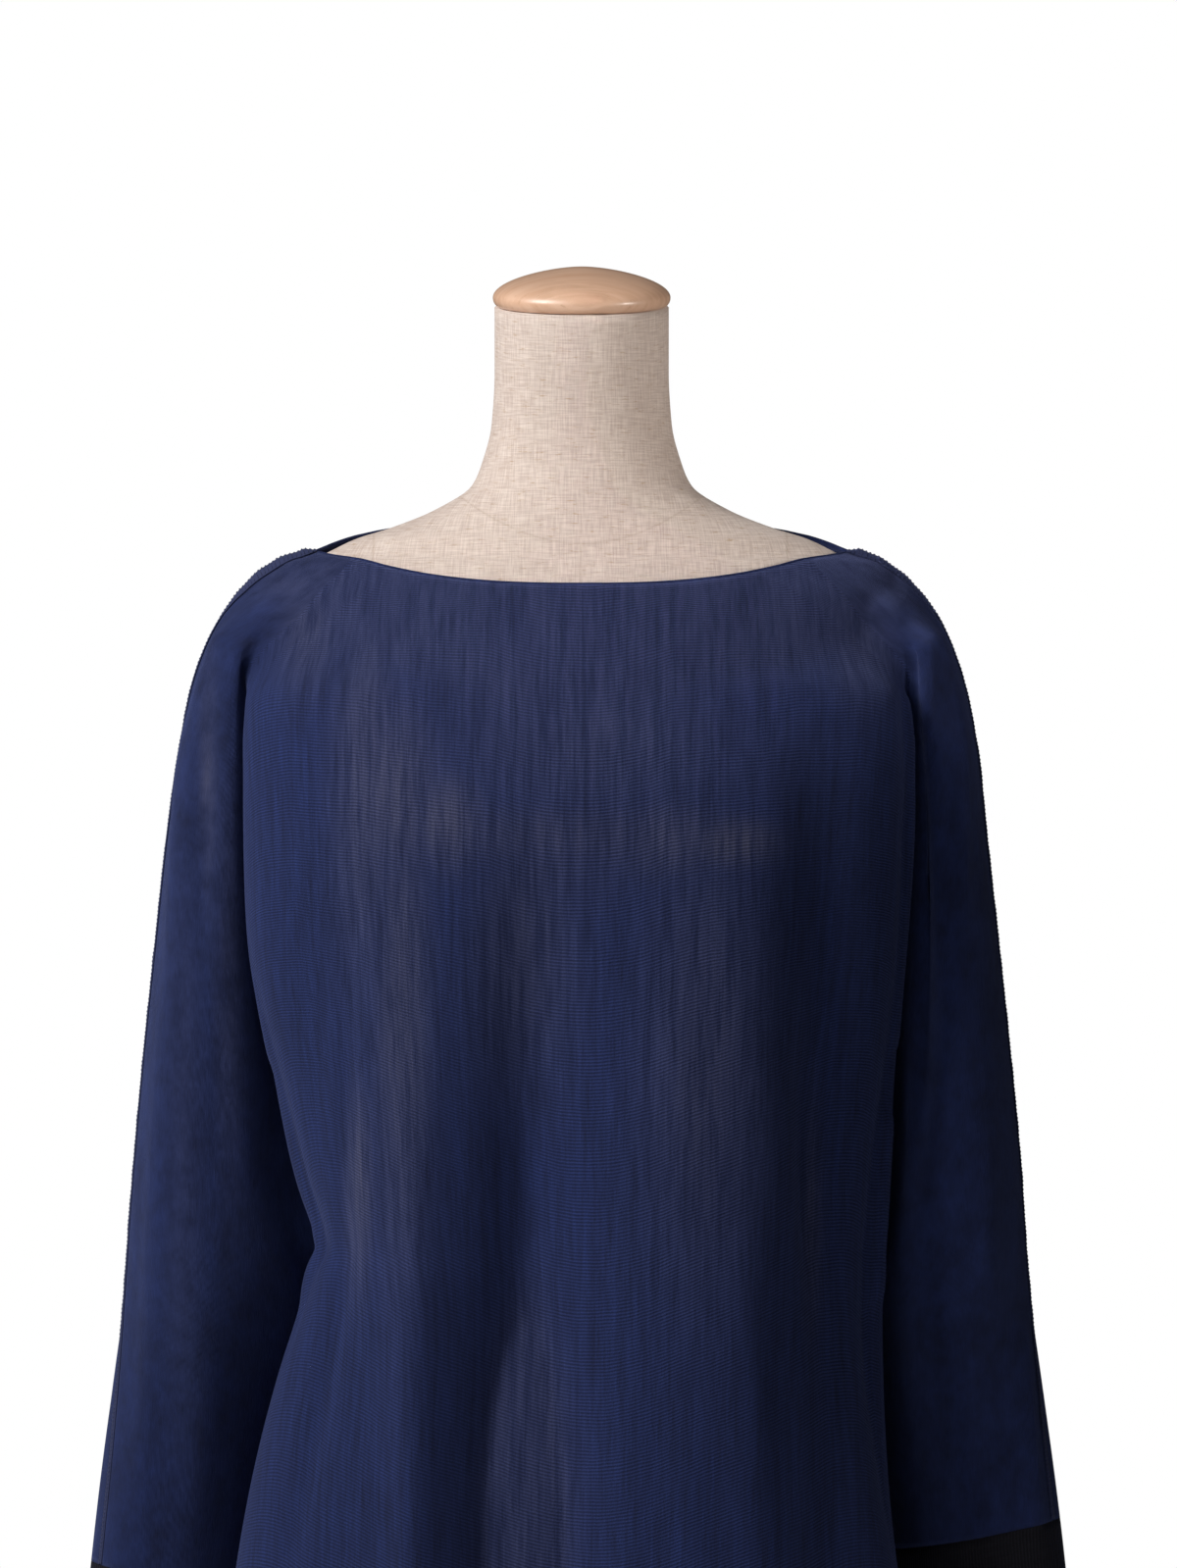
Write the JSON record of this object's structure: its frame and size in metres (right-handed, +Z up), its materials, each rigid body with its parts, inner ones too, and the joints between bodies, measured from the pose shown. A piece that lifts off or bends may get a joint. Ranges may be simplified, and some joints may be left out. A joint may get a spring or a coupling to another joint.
{
  "type": "boat neck sweater on dress form",
  "caption": "Boat neck dolman pullover with contrast cuffs, resting on a limbless dress form with a neck cap, post and round base.",
  "frame": {"origin": "middle of the underside of the round base, on the floor", "axes": "+Z up along the post, -Y towards the sweater's front, +X towards the wearer's left sleeve"},
  "size_m": [0.5673, 0.27, 1.0197],
  "materials": {
    "navy_jersey": "matte, slightly sheer fine-gauge jersey",
    "black_jersey": "matte jersey",
    "overlock_thread": "matte thread",
    "oatmeal_linen": "matte plain weave with slubs",
    "beech_wood": "clear satin lacquer",
    "satin_steel": "satin"
  },
  "bodies": {
    "root": {"front_panel": "navy_jersey", "back_panel": "navy_jersey", "cuff_left": "black_jersey", "cuff_right": "black_jersey", "shoulder_seam_left": "overlock_thread", "shoulder_seam_right": "overlock_thread", "form_torso": "oatmeal_linen", "form_neck_cap": "beech_wood", "stand_post": "satin_steel", "stand_base": "beech_wood"}
  },
  "joints": []
}
